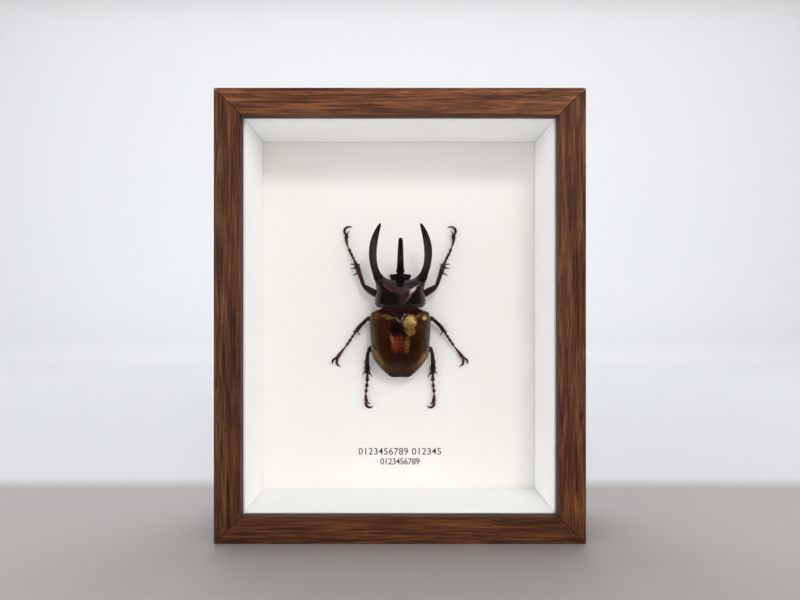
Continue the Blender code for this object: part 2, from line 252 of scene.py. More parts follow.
ink = bpy.data.materials.new("dark_grey_ink")
ink_shader = shader_of(ink)
link(ink, colour_ramp(ink, noise(ink, object_coordinates(ink), 4000.0, 2.0), [
    (0.3, (0.018, 0.017, 0.017)), (0.7, (0.034, 0.032, 0.031))]), ink_shader.inputs["Base Color"])
ink_shader.inputs["Roughness"].default_value = 0.7

INK_THICKNESS = 0.00004
INK_SPREAD = 0.00003            # how far the ink creeps past the edge of the type
CAPTION_MIDDLE = 0.0008         # across the card; the printing is not quite centred
for line_name, digits, size, spacing, baseline in (
    ("numerals_long", "0123456789 012345", 0.0066, 1.06, 0.0394),
    ("numerals_short", "0123456789", 0.0061, 0.90, 0.0326),
):
    bpy.ops.object.select_all(action="DESELECT")
    bpy.ops.object.text_add()
    numerals = bpy.context.object
    numerals.name = line_name
    numerals.data.body = digits
    numerals.data.size = size
    numerals.data.space_character = spacing
    numerals.data.align_x = "CENTER"
    numerals.data.offset = INK_SPREAD
    numerals.data.extrude = INK_THICKNESS / 2
    bpy.ops.object.convert(target="MESH")
    numerals = bpy.context.object
    stand_up = Matrix.Translation((CAPTION_MIDDLE, card_low.y - INK_THICKNESS, baseline))
    numerals.data.transform(stand_up @ Matrix.Rotation(math.pi / 2, 4, "X"))
    dress(numerals, ink)
    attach(numerals, "root")


# ----------------------------------------------------------------------
# The back: a sheet of brown hardboard, held in by six flat points of plated spring steel that
# are driven into the moulding.
# ----------------------------------------------------------------------

hardboard = bpy.data.materials.new("hardboard")
hardboard_shader = shader_of(hardboard)
flecks = noise(hardboard, object_coordinates(hardboard, (1.0, 1.0, 0.55)), 700.0, 6.0, 0.75)
patches = noise(hardboard, object_coordinates(hardboard), 35.0, 3.0)
fleck_colour = colour_ramp(hardboard, flecks, [
    (0.32, (0.13, 0.075, 0.038)), (0.52, (0.26, 0.16, 0.085)), (0.72, (0.38, 0.25, 0.14))])
patch_tint = colour_ramp(hardboard, patches, [
    (0.3, (0.86, 0.84, 0.82)), (0.7, (1.08, 1.06, 1.04))])
link(hardboard, mix_colour(hardboard, 1.0, fleck_colour, patch_tint, "MULTIPLY"),
     hardboard_shader.inputs["Base Color"])
link(hardboard, value_ramp(hardboard, flecks, 0.3, 0.7, 0.6, 0.8),
     hardboard_shader.inputs["Roughness"])
add_bump(hardboard, hardboard_shader, flecks, 0.00008, 0.6)
back_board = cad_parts["back_board"]
dress(back_board, hardboard)

plated_steel = bpy.data.materials.new("plated_steel")
steel_shader = shader_of(plated_steel)
steel_grain = noise(plated_steel, object_coordinates(plated_steel, (1.0, 1.0, 9.0)), 900.0, 4.0)
link(plated_steel, colour_ramp(plated_steel, steel_grain, [
    (0.3, (0.42, 0.42, 0.43)), (0.7, (0.60, 0.60, 0.59))]), steel_shader.inputs["Base Color"])
link(plated_steel, value_ramp(plated_steel, steel_grain, 0.3, 0.7, 0.28, 0.45),
     steel_shader.inputs["Roughness"])
steel_shader.inputs["Metallic"].default_value = 1.0
add_bump(plated_steel, steel_shader, steel_grain, 0.00002, 0.5)
for node_name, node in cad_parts.items():
    if node_name.startswith("point_"):
        dress(node, plated_steel)


# ----------------------------------------------------------------------
# The beetle's hind body: hind thorax and belly in one dark horny case, glued to the card by its
# keel. The belly is ringed, and a reddish collar at the front plugs into the pronotum.
# All of the beetle is drawn in millimetres on its own axes (X across, Y to the head, Z up off
# the card, from its waist) and then laid on the card.
# ----------------------------------------------------------------------

MM = 0.001
WAIST_ABOVE_WING = 1.0 * MM
MIDLINE_DRIFT = 0.2 * MM
_, wing_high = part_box("elytron_left")
pronotum_low, pronotum_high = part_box("pronotum")
waist = Vector(((pronotum_low.x + pronotum_high.x) / 2 + MIDLINE_DRIFT, card_low.y,
                wing_high.z + WAIST_ABOVE_WING))
stand_head_up = Matrix.Rotation(math.pi / 2, 4, "X")
lay_matrix = Matrix.Translation(waist) @ stand_head_up @ Matrix.Scale(MM, 4)


def start_piece(name, add, **how):
    """Add a primitive with nothing else selected, and open it in edit mode."""
    bpy.ops.object.select_all(action="DESELECT")
    add(**how)
    piece = bpy.context.object
    piece.name = name
    bpy.ops.object.transform_apply(location=True, rotation=True, scale=True)
    bpy.ops.object.mode_set(mode="EDIT")
    return piece


def subdivide(piece, levels):
    """Smooth a piece with subdivision and make the result its mesh."""
    smooth = piece.modifiers.new("smooth", "SUBSURF")
    smooth.levels = levels
    smooth.render_levels = levels
    bpy.ops.object.modifier_apply(modifier=smooth.name)
    bpy.ops.object.shade_smooth()


def end_piece():
    """Turn the open piece's faces out and leave edit mode."""
    bpy.ops.mesh.select_all(action="SELECT")
    bpy.ops.mesh.normals_make_consistent(inside=False)
    bpy.ops.object.mode_set(mode="OBJECT")
    bpy.ops.object.shade_smooth()


def lay_on_card(piece, material, replaced):
    """Move a finished piece from the drawing axes to its place on the card."""
    piece.data.transform(lay_matrix @ piece.matrix_world)
    piece.matrix_world = Matrix.Identity(4)
    dress(piece, material)
    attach(piece, "root")
    if replaced:
        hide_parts(replaced)


def size_first(section):
    """Bring a flat unit outline to the size and place of a piece's first section."""
    x, y, z, half_width, half_height = section
    bpy.ops.transform.resize(value=(half_width, 1, half_height), center_override=(0, 0, 0))
    bpy.ops.transform.translate(value=(x, y, z))


def pull(sections):
    """Extrude the selected faces from the first section through all the others.

    A section is (x, y, z, half width, half height)."""
    for last, section in zip(sections, sections[1:]):
        bpy.ops.mesh.extrude_region_move()
        bpy.ops.transform.resize(value=(section[3] / last[3], 1, section[4] / last[4]),
                                 center_override=last[:3])
        bpy.ops.transform.translate(value=[new - old for new, old in zip(section[:3], last[:3])])


def horny(name, dark, warm, roughness, coat, pit_depth):
    """Glossy insect shell: dark, warmer in soft clouds, with fine pits."""
    material = bpy.data.materials.new(name)
    shader = shader_of(material)
    place = object_coordinates(material)
    clouds = noise(material, place, 160.0, 3.0)
    pits = add_node(material, "ShaderNodeTexVoronoi", {"Vector": place, "Scale": 2600.0})
    factor = value_ramp(material, clouds, 0.38, 0.66)
    link(material, mix_colour(material, factor, dark, warm), shader.inputs["Base Color"])
    rough = value_ramp(material, clouds, 0.3, 0.7, roughness, roughness + 0.06)
    link(material, rough, shader.inputs["Roughness"])
    shader.inputs["IOR"].default_value = 1.5
    shader.inputs["Specular IOR Level"].default_value = 0.32
    shader.inputs["Coat Weight"].default_value = coat
    shader.inputs["Coat Roughness"].default_value = 0.08
    pit = value_ramp(material, pits.outputs["Distance"], 0.0, 0.35)
    add_bump(material, shader, pit, pit_depth, 0.35)
    return material


def paint_over(material, factor, colour):
    """Lay another colour, by a factor, over what already colours the material."""
    target = material.node_tree.nodes["Principled BSDF"].inputs["Base Color"]
    under = target.links[0].from_socket
    link(material, mix_colour(material, factor, under, colour), target)


belly_shell = horny("belly_shell", (0.010, 0.006, 0.005), (0.045, 0.014, 0.008), 0.3, 0.0, 0.00002)
belly_axes = add_node(belly_shell, "ShaderNodeSeparateXYZ", {
    "Vector": object_coordinates(belly_shell)})
COLLAR_RED = (0.060, 0.010, 0.004)
paint_over(belly_shell, value_ramp(belly_shell, belly_axes.outputs["Z"], waist.z - 3.5 * MM,
                                   waist.z - 1.0 * MM), COLLAR_RED)
THORAX = [(0, 1.6, 12.6, 8.0, 4.6), (0, 0.6, 12.2, 12.5, 6.4), (0, -0.8, 11.2, 14.4, 7.2),
          (0, -2.6, 10.2, 16.0, 8.0), (0, -10.0, 9.5, 17.2, 8.8), (0, -16.0, 9.4, 17.4, 8.8),
          (0, -19.5, 9.3, 17.2, 8.6)]
BELLY_TIP = [(0, -43.0, 9.6, 3.6, 1.9), (0, -45.2, 9.6, 2.6, 1.2)]
BELLY_RINGS = 6
RING_LENGTH = 3.1
belly = []
for ring in range(BELLY_RINGS):
    reach = ring / (BELLY_RINGS - 1)
    along = -20.0 - 18.5 * reach
    middle = 9.3 + 0.4 * reach
    width = 17.2 - 10.9 * reach ** 2.0
    height = 8.6 - 4.6 * reach ** 1.6
    belly += [(0, along, middle, width, height),
              (0, along - RING_LENGTH, middle, width * 0.985, height),
              (0, along - RING_LENGTH - 0.2, middle, width * 0.95, height * 0.96)]
hind_body = start_piece("hind_body_case", bpy.ops.mesh.primitive_circle_add, vertices=20,
                        radius=1.0, fill_type="NGON", rotation=(math.pi / 2, 0, 0))
size_first(THORAX[0])
pull(THORAX + belly + BELLY_TIP)
end_piece()
subdivide(hind_body, 2)
lay_on_card(hind_body, belly_shell, "hind_body")


# ----------------------------------------------------------------------
# The wing cases: two thin, hard, highly polished shells, bronze with red-brown by the seam and
# olive at the sides, partly their own colour and partly painted sheen, with painted highlights
# and reflections over it. They hinge at the shoulders and meet edge to edge down the middle.
# ----------------------------------------------------------------------

# Along, half width, height of the rim, height of the crest.
WING_STATIONS = [
    (-0.4, 12.2, 12.2, 16.0), (-1.0, 15.4, 12.1, 17.1), (-1.9, 18.2, 12.0, 17.9),
    (-2.9, 19.6, 11.9, 18.7), (-4.6, 20.1, 11.7, 19.7), (-8.0, 20.4, 11.3, 21.3),
    (-11.5, 20.6, 11.0, 22.6), (-15.0, 20.45, 10.8, 23.5), (-19.0, 20.35, 10.7, 24.1),
    (-23.0, 20.05, 10.6, 24.2), (-27.0, 19.75, 10.6, 23.6), (-30.5, 19.2, 10.6, 22.5),
    (-33.5, 18.3, 10.7, 21.0), (-36.5, 16.3, 10.8, 19.2), (-39.5, 13.9, 10.9, 17.1),
    (-42.3, 11.2, 11.0, 15.0), (-44.4, 8.7, 11.0, 13.3), (-45.7, 7.0, 11.0, 12.2),
    (-46.4, 5.6, 11.0, 11.4),
]
WING_THICKNESS = 0.7
WING_ROUNDNESS = 0.86           # 1 is a true quarter circle across the back; less is squarer
SEAM_HALF_GAP = 0.008
EDGE_CREASE = 0.85              # keeps the shell's rim sharp when it is smoothed
SHOULDER_BUMP = ((13.5, -4.5, 20.0), 6.0, 0.7)
REAR_BUMP = ((11.5, -37.5, 18.0), 8.0, 0.5)


def unevenly(material, place, amount):
    """Coordinates shaken by noise, so that what is drawn with them has a natural edge."""
    wobble = add_node(material, "ShaderNodeTexNoise", {
        "Vector": place, "Scale": 330.0, "Detail": 4.0, "Roughness": 0.65})
    shaken = add_node(material, "ShaderNodeVectorMath", {
        0: wobble.outputs["Color"], 1: (0.5, 0.5, 0.5)}, operation="SUBTRACT")
    shake = add_node(material, "ShaderNodeVectorMath", {
        0: shaken.outputs["Vector"], "Scale": amount}, operation="SCALE")
    moved = add_node(material, "ShaderNodeVectorMath", {
        0: place, 1: shake.outputs["Vector"]}, operation="ADD")
    return moved.outputs["Vector"]


def soft_spot(material, place, middle, reach, tilt=0, softness=0.6):
    """An oval on the beetle's back, in millimetres: 1 inside, fading to 0 at its edge.

    It is tilted by degrees, clockwise as seen from the front."""
    mapping = add_node(material, "ShaderNodeMapping", {
        "Vector": place, "Location": (middle[0] * MM, 0.0, middle[1] * MM),
        "Rotation": (0.0, math.radians(tilt), 0.0),
        "Scale": (reach[0] * MM, 1.0, reach[1] * MM)}, vector_type="TEXTURE")
    length = add_node(material, "ShaderNodeVectorMath", {0: mapping.outputs["Vector"]},
                      operation="LENGTH")
    node = add_node(material, "ShaderNodeMapRange", {
        "Value": length.outputs["Value"], "From Min": 1.0, "From Max": 1.0 - softness},
        interpolation_type="SMOOTHSTEP")
    return node.outputs["Result"]


# Patches of painted sheen, mostly painted highlights and reflections, bright and dark; the red
# patches by the seam are partly the shell's own colour.
# Middle (across, along), reach, tilt, softness, colour, strength, mottle.
WING_PAINTED_SHEEN = {
    "left": [((-18.8, -15.5), (2.3, 11.0), -6, 0.5, (0.054, 0.040, 0.018), 0.9, 0.1),
             ((-9.5, -12.5), (5.0, 9.0), 8, 0.9, (0.075, 0.022, 0.005), 0.7, 0.1),
             ((-14.5, -5.0), (4.5, 3.4), 0, 0.8, (0.130, 0.032, 0.008), 0.8, 0.2),
             ((-8.5, -5.4), (5.8, 1.9), 14, 0.7, (0.300, 0.165, 0.022), 0.9, 0.5),
             ((-2.6, -12.5), (4.2, 7.0), 0, 0.5, (0.006, 0.002, 0.002), 0.9, 0.0),
             ((-2.9, -23.3), (4.6, 7.4), 0, 0.7, (0.280, 0.046, 0.020), 0.9, 0.2),
             ((-5.4, -20.6), (1.5, 5.4), -10, 0.9, (0.640, 0.220, 0.130), 0.7, 0.2),
             ((-14.2, -33.0), (2.4, 9.0), -35, 0.7, (0.170, 0.090, 0.016), 0.9, 0.2),
             ((-17.2, -25.6), (4.6, 1.0), 42, 0.6, (0.008, 0.004, 0.002), 0.9, 0.0),
             ((-1.0, -37.0), (5.0, 5.0), 0, 0.8, (0.040, 0.006, 0.004), 0.6, 0.1)],
    "right": [((18.8, -15.5), (2.3, 11.0), 6, 0.5, (0.058, 0.046, 0.024), 0.9, 0.1),
              ((13.5, -14.0), (4.0, 11.0), 0, 0.8, (0.046, 0.026, 0.007), 0.8, 0.1),
              ((6.2, -8.8), (5.4, 5.6), 0, 0.25, (0.300, 0.195, 0.050), 1.0, 0.8),
              ((6.4, -14.2), (4.2, 4.6), 0, 0.3, (0.320, 0.175, 0.036), 0.95, 0.9),
              ((16.0, -6.2), (2.3, 2.3), 0, 0.7, (0.620, 0.430, 0.170), 0.95, 0.3),
              ((4.4, -24.2), (2.8, 7.4), 3, 0.8, (0.260, 0.130, 0.020), 0.95, 0.1),
              ((0.2, -23.3), (2.2, 7.4), 0, 0.4, (0.200, 0.030, 0.015), 0.9, 0.3),
              ((15.0, -33.0), (2.2, 8.0), 35, 0.8, (0.230, 0.130, 0.028), 0.8, 0.2),
              ((17.2, -25.6), (4.6, 1.0), -42, 0.6, (0.008, 0.004, 0.002), 0.9, 0.0),
              ((1.0, -37.0), (4.0, 5.0), 0, 0.8, (0.040, 0.006, 0.004), 0.6, 0.1)],
}


def wing_case_shell(label):
    """Bronze shell, red-brown by the seam, olive at the sides: partly its colour, partly painted
    sheen.

    Patches of painted highlight and reflection lie over it, and its lowest band is painted dark as
    shade.
    """
    material = bpy.data.materials.new("wing_case_" + label)
    shader = shader_of(material)
    place = object_coordinates(material, offset=tuple(-waist))
    uneven = unevenly(material, place, 0.0032)
    axes = add_node(material, "ShaderNodeSeparateXYZ", {"Vector": uneven})
    across = add_node(material, "ShaderNodeMath", {0: axes.outputs["X"]}, operation="ABSOLUTE")
    # From red-brown by the seam to olive at the sides, lighter towards the rear: partly the shell's
    # own colour, partly its sheen painted in.
    side_factor = value_ramp(material, across.outputs[0], 1.0 * MM, 19.5 * MM)
    front_tone = colour_ramp(material, side_factor, [
        (0.0, (0.023, 0.003, 0.001)), (0.40, (0.031, 0.006, 0.001)),
        (0.70, (0.045, 0.013, 0.002)), (1.0, (0.056, 0.026, 0.005))])
    rear_tone = colour_ramp(material, side_factor, [
        (0.0, (0.026, 0.004, 0.001)), (0.35, (0.038, 0.009, 0.001)),
        (0.70, (0.060, 0.022, 0.002)), (1.0, (0.088, 0.042, 0.006))])
    rearward = value_ramp(material, axes.outputs["Z"], -23 * MM, -34 * MM)
    tone = mix_colour(material, rearward, front_tone, rear_tone)
    speckle = noise(material, place, 620.0, 4.0, 0.7)
    blots = value_ramp(material, speckle, 0.42, 0.58)
    # Each patch is painted sheen, a painted highlight or reflection, bright or dark, mottled where
    # the sheen is broken.
    for middle, reach, tilt, softness, colour, strength, mottle in WING_PAINTED_SHEEN[label]:
        spot = soft_spot(material, uneven, middle, reach, tilt, softness)
        held = add_node(material, "ShaderNodeMath", {0: spot, 1: strength}, operation="MULTIPLY")
        dull = [value * (1 - 0.75 * mottle) for value in colour]
        mottled = mix_colour(material, blots, dull, colour)
        tone = mix_colour(material, held.outputs[0], tone, mottled)
    link(material, tone, shader.inputs["Base Color"])
    # Painted shade: the shell's steep lowest band, below 12.2 mm, is painted near black as a dark
    # outline.
    rim = value_ramp(material, axes.outputs["Y"], -15.2 * MM, -12.2 * MM, 0.0, 0.85)
    paint_over(material, rim, (0.008, 0.004, 0.002))
    link(material, value_ramp(material, speckle, 0.3, 0.7, 0.24, 0.32), shader.inputs["Roughness"])
    shader.inputs["Metallic"].default_value = 0.72
    shader.inputs["IOR"].default_value = 1.5
    shader.inputs["Specular IOR Level"].default_value = 0.25
    shader.inputs["Coat Weight"].default_value = 0.12
    shader.inputs["Coat Roughness"].default_value = 0.06
    add_bump(material, shader, noise(material, place, 260.0, 2.0), 0.00005, 0.25)
    return material


def select_vertices(piece, test):
    """In edit mode, select the vertices whose place passes a test, and nothing else."""
    shape = bmesh.from_edit_mesh(piece.data)
    for vertex in shape.verts:
        vertex.select_set(test(vertex.co))
    shape.select_flush_mode()
    bmesh.update_edit_mesh(piece.data)


def face_up(piece):
    """Turn the faces of an open skin up, away from the card."""
    shape = bmesh.new()
    shape.from_mesh(piece.data)
    if sum(face.normal.z for face in shape.faces) < 0:
        bmesh.ops.reverse_faces(shape, faces=shape.faces)
    shape.to_mesh(piece.data)
    shape.free()


def thicken(piece, thickness, edge_crease=0.0):
    """Give an open skin its thickness, on the inside."""
    shell = piece.modifiers.new("shell", "SOLIDIFY")
    shell.thickness = thickness
    shell.offset = -1
    shell.edge_crease_outer = edge_crease
    bpy.ops.object.modifier_apply(modifier=shell.name)


def swell(piece, middle, reach, height):
    """Raise a soft bump around a point."""
    moves = []
    for vertex in piece.data.vertices:
        near = 1 - (vertex.co - Vector(middle)).length / reach
        if near > 0:
            moves.append((vertex, vertex.normal.copy(), near * near * (3 - 2 * near)))
    for vertex, normal, weight in moves:
        vertex.co += normal * height * weight


for label, side in (("left", -1), ("right", 1)):
    wing = start_piece("wing_case_" + label, bpy.ops.mesh.primitive_circle_add, vertices=28,
                       radius=1.0, rotation=(math.pi / 2, 0, 0))
    select_vertices(wing, lambda place: place.x < -0.01 or place.z < -0.01)
    bpy.ops.mesh.delete(type="VERT")
    shape = bmesh.from_edit_mesh(wing.data)
    for vertex in shape.verts:
        vertex.co.x = abs(vertex.co.x) ** WING_ROUNDNESS
        vertex.co.z = abs(vertex.co.z) ** WING_ROUNDNESS
    bmesh.update_edit_mesh(wing.data)
    bpy.ops.mesh.select_all(action="SELECT")
    along, width, rim, crest = WING_STATIONS[0]
    bpy.ops.transform.resize(value=(width, 1, crest - rim), center_override=(0, 0, 0))
    bpy.ops.transform.translate(value=(0, along, rim))
    for new_along, new_width, new_rim, new_crest in WING_STATIONS[1:]:
        bpy.ops.mesh.extrude_region_move()
        grow = (new_width / width, 1, (new_crest - new_rim) / (crest - rim))
        bpy.ops.transform.resize(value=grow, center_override=(0, along, rim))
        bpy.ops.transform.translate(value=(0, new_along - along, new_rim - rim))
        along, width, rim, crest = new_along, new_width, new_rim, new_crest
    bpy.ops.mesh.select_all(action="SELECT")
    bpy.ops.transform.translate(value=(SEAM_HALF_GAP, 0, 0))
    bpy.ops.transform.resize(value=(side, 1, 1), center_override=(0, 0, 0))
    end_piece()
    face_up(wing)
    thicken(wing, WING_THICKNESS, EDGE_CREASE)
    subdivide(wing, 3)
    for (x, y, z), reach, height in (SHOULDER_BUMP, REAR_BUMP):
        swell(wing, (side * x, y, z), reach, height)
    lay_on_card(wing, wing_case_shell(label), "elytron_" + label)


# ----------------------------------------------------------------------
# The scutellum: a small dark triangle wedged between the roots of the wing cases, with the
# reddish plate in front of it that runs in under the pronotum.
# ----------------------------------------------------------------------

scutellum_shell = horny("scutellum_shell", (0.003, 0.002, 0.002), (0.012, 0.004, 0.003), 0.12,
                        0.1, 0.000005)
scutellum_place = object_coordinates(scutellum_shell, offset=tuple(-waist))
scutellum_axes = add_node(scutellum_shell, "ShaderNodeSeparateXYZ", {"Vector": scutellum_place})
paint_over(scutellum_shell, value_ramp(scutellum_shell, scutellum_axes.outputs["Z"], -3.1 * MM,
                                       -2.6 * MM), (0.014, 0.004, 0.003))
# Painted highlights: two thin light lines down the scutellum's edges.
PAINTED_KEEL_HIGHLIGHT = (0.230, 0.190, 0.160)
for middle, reach, tilt in (((-1.9, -7.4), (0.55, 3.4), -40), ((1.1, -7.0), (0.45, 3.0), 24)):
    keel = soft_spot(scutellum_shell, scutellum_place, middle, reach, tilt, 0.9)
    paint_over(scutellum_shell, keel, PAINTED_KEEL_HIGHLIGHT)
# Along, height, half width.
SCUTELLUM_STATIONS = [
    (1.15, 17.4, 6.8), (-0.9, 18.2, 7.0), (-2.5, 19.0, 7.2), (-2.9, 19.4, 5.2),
    (-3.4, 19.9, 5.0), (-6.0, 20.8, 3.5), (-8.8, 21.9, 1.6), (-10.6, 22.5, 0.4),
]
FRONT_STRIP = 0.5
PLATE_THICKNESS = 2.0
PLATE_RISE = 0.5
PLATE_ARCH = 0.02               # how fast the plate falls away to its sides
along, height, half_width = SCUTELLUM_STATIONS[0]
scutellum = start_piece("scutellum_plate", bpy.ops.mesh.primitive_grid_add, x_subdivisions=6,
                        y_subdivisions=1, size=1.0)
bpy.ops.transform.resize(value=(2 * half_width, FRONT_STRIP, 1), center_override=(0, 0, 0))
bpy.ops.transform.translate(value=(0, along + FRONT_STRIP / 2, height))
rear, last_height = along, height
for along, height, new_half_width in SCUTELLUM_STATIONS[1:]:
    select_vertices(scutellum, lambda place: place.y < rear + 0.01)
    bpy.ops.mesh.select_mode(type="EDGE")
    bpy.ops.mesh.extrude_region_move()
    bpy.ops.transform.resize(value=(new_half_width / half_width, 1, 1), center_override=(0, 0, 0))
    bpy.ops.transform.translate(value=(0, along - rear, height - last_height))
    rear, last_height, half_width = along, height, new_half_width
end_piece()
face_up(scutellum)
for vertex in scutellum.data.vertices:
    vertex.co.z += PLATE_RISE - PLATE_ARCH * vertex.co.x ** 2
thicken(scutellum, PLATE_THICKNESS)
subdivide(scutellum, 3)
lay_on_card(scutellum, scutellum_shell, "scutellum")


# ----------------------------------------------------------------------
# The pronotum: the big front shield, one polished black-brown casting with a long curved horn
# growing forward from each front corner. It turns on the neck collar.
# ----------------------------------------------------------------------

black_shell = horny("black_shell", (0.0018, 0.0010, 0.0009), (0.005, 0.0022, 0.0018), 0.07, 0.0,
                    0.000003)
black_place = object_coordinates(black_shell, offset=tuple(-waist))
black_uneven = unevenly(black_shell, black_place, 0.0024)
# Painted highlights and reflections on the shield and horns: the pale disc, the streaks from the
# horn roots, the bright streak at the right and a soft streak along each horn.
for middle, reach, tilt, colour in (
    ((1.4, 7.0), (4.0, 7.5), 0, (0.026, 0.011, 0.008)),
    ((1.0, 11.4), (9.0, 3.6), 0, (0.036, 0.021, 0.021)),
    ((-8.0, 13.4), (7.0, 1.9), 34, (0.060, 0.022, 0.015)),
    ((6.4, 9.0), (1.5, 9.0), 34, (0.100, 0.056, 0.046)),
    ((8.0, 11.8), (1.4, 4.4), 42, (0.480, 0.370, 0.320)),
    ((-17.2, 38.0), (4.5, 20.0), 0, (0.020, 0.017, 0.015)),
    ((17.2, 38.0), (4.5, 20.0), 0, (0.018, 0.015, 0.013)),
):
    spot = soft_spot(black_shell, black_uneven, middle, reach, tilt, 0.95)
    paint_over(black_shell, spot, colour)
forward = add_node(black_shell, "ShaderNodeSeparateXYZ", {"Vector": black_place})
link(black_shell, value_ramp(black_shell, forward.outputs["Z"], 18 * MM, 34 * MM, 0.09, 0.24),
     black_shell.node_tree.nodes["Principled BSDF"].inputs["Roughness"])
BARREL = [
    (0, 1.3, 14.8, 13.0, 7.6), (0, 0.3, 15.2, 13.6, 8.6), (0, 0.9, 15.3, 15.4, 9.8),
    (0, 1.7, 15.4, 16.4, 10.4), (0, 2.1, 15.4, 16.5, 10.4), (0, 2.6, 15.4, 17.0, 11.0),
    (0, 4.8, 15.5, 17.4, 11.6), (0, 8.5, 15.7, 16.7, 12.2), (0, 12.2, 15.8, 15.8, 11.8),
    (0, 15.4, 16.0, 16.2, 10.8), (0, 17.6, 16.2, 17.4, 9.6),
]
REAR_ROUNDING = (0.80, 0.84)    # how far the rear section's corners are drawn in
# Towards the front the middle is hollowed (top drop, middle drop, push) and the corners flare
# (widening, lift) into the horns. Both go by the distance along.
FRONT_HOLLOW = {15.4: (2.4, 0.8, 0.0), 17.6: (6.2, 4.2, 1.4)}
FRONT_CORNERS = {12.2: (1.03, 0.1), 15.4: (1.09, 0.3), 17.6: (1.20, 0.6)}
HORN = [
    (13.6, 19.8, 22.4, 4.7, 3.8), (15.0, 21.9, 22.9, 3.15, 3.1), (16.6, 25.2, 23.8, 2.75, 2.8),
    (17.45, 28.4, 24.8, 2.6, 2.65), (17.9, 31.8, 25.9, 2.65, 2.6), (18.05, 35.0, 26.9, 2.7, 2.6),
    (17.9, 38.2, 27.8, 2.75, 2.5), (17.5, 41.4, 28.5, 2.7, 2.4), (16.85, 44.5, 29.1, 2.5, 2.3),
    (16.0, 47.5, 29.6, 2.2, 2.0), (14.85, 50.5, 29.9, 1.75, 1.6), (13.7, 53.1, 30.1, 1.25, 1.2),
    (12.9, 54.8, 30.1, 0.6, 0.6),
]


def start_grid(name):
    """Open a new piece as an upright grid of nine faces, two units wide and high."""
    return start_piece(name, bpy.ops.mesh.primitive_grid_add, x_subdivisions=3, y_subdivisions=3,
                       size=2.0, rotation=(math.pi / 2, 0, 0))


def grow_horn(piece, is_root, rings):
    """Draw the faces whose middle passes a test out into a horn, ring by ring."""
    bpy.ops.mesh.select_mode(type="FACE")
    bpy.ops.mesh.select_all(action="DESELECT")
    shape = bmesh.from_edit_mesh(piece.data)
    roots = [face for face in shape.faces if is_root(face.calc_center_median())]
    for face in roots:
        face.select_set(True)
    root = sum((face.calc_center_median() for face in roots), Vector()) / len(roots)
    bmesh.update_edit_mesh(piece.data)
    bpy.ops.mesh.extrude_region_move()
    shape = bmesh.from_edit_mesh(piece.data)
    x, y, z, half_width, half_height = rings[0]
    for vertex in shape.verts:
        if vertex.select:
            outward = 1 if vertex.co.x > root.x else -1
            upward = 1 if vertex.co.z > root.z else -1
            vertex.co = (x + outward * half_width, y, z + upward * half_height)
    bmesh.update_edit_mesh(piece.data)
    pull(rings)


shield = start_grid("pronotum_shield")
shape = bmesh.from_edit_mesh(shield.data)
for vertex in shape.verts:
    if abs(vertex.co.x) > 0.9 and abs(vertex.co.z) > 0.9:
        vertex.co.x *= REAR_ROUNDING[0]
        vertex.co.z *= REAR_ROUNDING[1]
bmesh.update_edit_mesh(shield.data)
size_first(BARREL[0])
pull(BARREL)
shape = bmesh.from_edit_mesh(shield.data)
for vertex in shape.verts:
    for along, (top_drop, middle_drop, push) in FRONT_HOLLOW.items():
        if abs(vertex.co.y - along) < 0.05 and abs(vertex.co.x) < 8 and vertex.co.z > 16:
            vertex.co.z -= top_drop if vertex.co.z > 22 else middle_drop
            vertex.co.y += push
    for along, (widening, lift) in FRONT_CORNERS.items():
        corner = abs(vertex.co.x) > 9 and vertex.co.z > 21
        if abs(vertex.co.y - along) < 0.05 and corner:
            vertex.co.x *= widening
            vertex.co.z += lift
bmesh.update_edit_mesh(shield.data)
for side in (-1, 1):
    grow_horn(shield, lambda middle: middle.y > 17.5 and side * middle.x > 6 and middle.z > 18,
              [(side * x, y, z, *half) for x, y, z, *half in HORN])
end_piece()
subdivide(shield, 4)
lay_on_card(shield, black_shell, "pronotum")


# ----------------------------------------------------------------------
# The head: small and black, tucked under the shield, with one long horn that sweeps up and
# forward, and a round eye at each side.
# ----------------------------------------------------------------------

HEAD = [(0, 15.0, 12.0, 5.0, 3.4), (0, 18.5, 12.0, 6.0, 4.2), (0, 20.6, 12.2, 6.9, 4.4),
        (0, 22.2, 12.4, 6.2, 4.2), (0, 23.2, 12.6, 4.6, 3.8)]
HEAD_HORN = [
    (0, 24.2, 14.8, 3.7, 3.2), (0, 26.0, 17.6, 2.7, 2.8), (0, 29.0, 20.9, 2.45, 2.6),
    (0, 32.0, 23.8, 2.3, 2.4), (0, 35.0, 26.2, 2.15, 2.2), (0, 38.0, 28.3, 2.0, 2.0),
    (0, 41.0, 30.1, 1.8, 1.8), (0, 43.6, 31.4, 1.6, 1.6), (0, 45.2, 32.0, 1.15, 1.2),
]
head = start_grid("head_and_horn")
size_first(HEAD[0])
pull(HEAD)
grow_horn(head, lambda middle: middle.y > 23.1 and abs(middle.x) < 1 and middle.z > 13, HEAD_HORN)
end_piece()
subdivide(head, 4)
lay_on_card(head, black_shell, "head")

EYE_RADIUS = 1.5
EYE_PLACE = (5.95, 21.6, 13.4)
EYE_HEIGHT = 1.15               # against its width
eye_shell = horny("eye_shell", (0.006, 0.003, 0.002), (0.03, 0.014, 0.008), 0.12, 0.5, 0.00002)
for label, side in (("left", -1), ("right", 1)):
    place = (side * EYE_PLACE[0], *EYE_PLACE[1:])
    eye = start_piece("eye_" + label, bpy.ops.mesh.primitive_uv_sphere_add, segments=32,
                      ring_count=20, radius=EYE_RADIUS, location=place)
    bpy.ops.transform.resize(value=(1, 1, EYE_HEIGHT), center_override=place)
    end_piece()
    lay_on_card(eye, eye_shell, None)


# ----------------------------------------------------------------------
# The legs: six, each a stout femur, a spined tibia and a beaded tarsus that ends in two hooked
# claws. They are the same dark horn as the body, redder towards the feet.
# ----------------------------------------------------------------------

